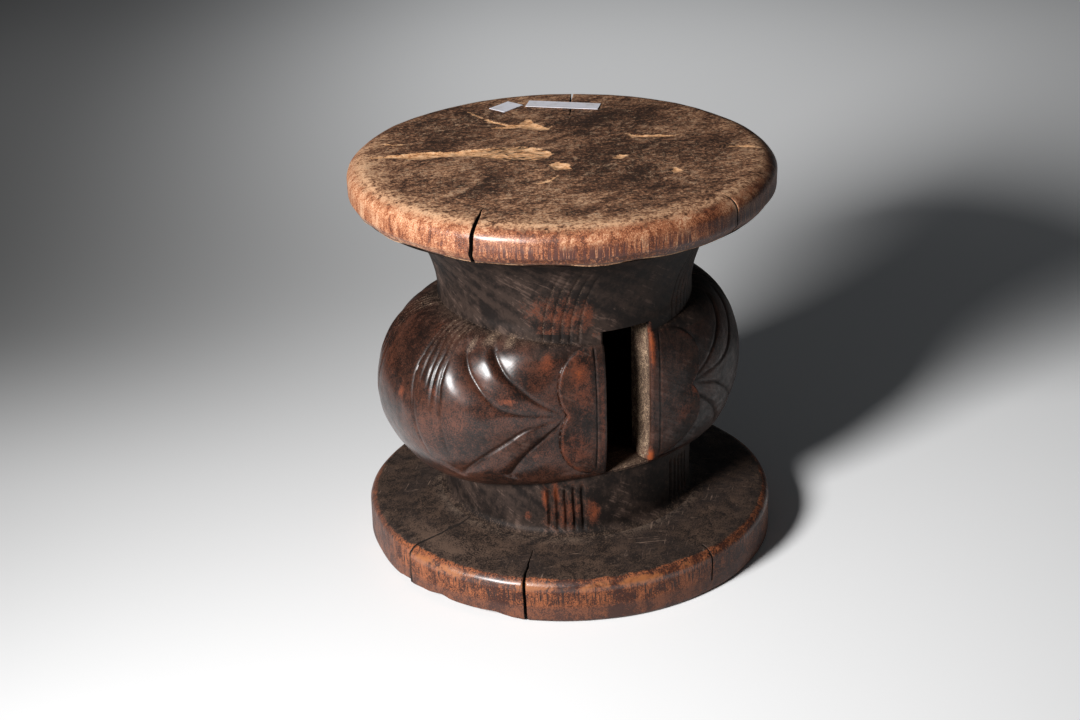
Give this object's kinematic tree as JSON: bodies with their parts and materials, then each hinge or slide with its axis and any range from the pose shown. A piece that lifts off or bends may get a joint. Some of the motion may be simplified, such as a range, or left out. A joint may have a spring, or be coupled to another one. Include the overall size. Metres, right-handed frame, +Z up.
{
  "type": "carved stool",
  "caption": "Round carved wooden stool: a flat seat and foot joined by a hollow, bulging waist that is slotted front and back and carved with petals, bows and upright grooves.",
  "frame": {"origin": "middle of the foot's flat underside, on the ground", "axes": "+Z up through the seat; the slots face -Y and +Y, the lobes bulge towards -X and +X"},
  "size_m": [0.34, 0.34, 0.3287],
  "materials": {
    "seat_wood": "matt, scuffed end grain with a worn orange-brown rim",
    "foot_wood": "dusty dark top and a rubbed red-brown rim",
    "waist_wood": "near-black patina with tool marks, satin",
    "polished_wood": "near-black brown, polished by handling, with red-brown wear",
    "aged_paper": "blank aged sticker paper, matt"
  },
  "bodies": {
    "root": {"seat_slab": "seat_wood", "base_slab": "foot_wood", "upper_waist": "waist_wood", "lower_waist": "waist_wood", "lobe_left": "polished_wood", "lobe_right": "polished_wood", "plate_front_left": "polished_wood", "plate_front_right": "polished_wood", "plate_back_left": "polished_wood", "plate_back_right": "polished_wood", "paper_tag": "aged_paper", "paper_strip": "aged_paper"}
  },
  "joints": []
}
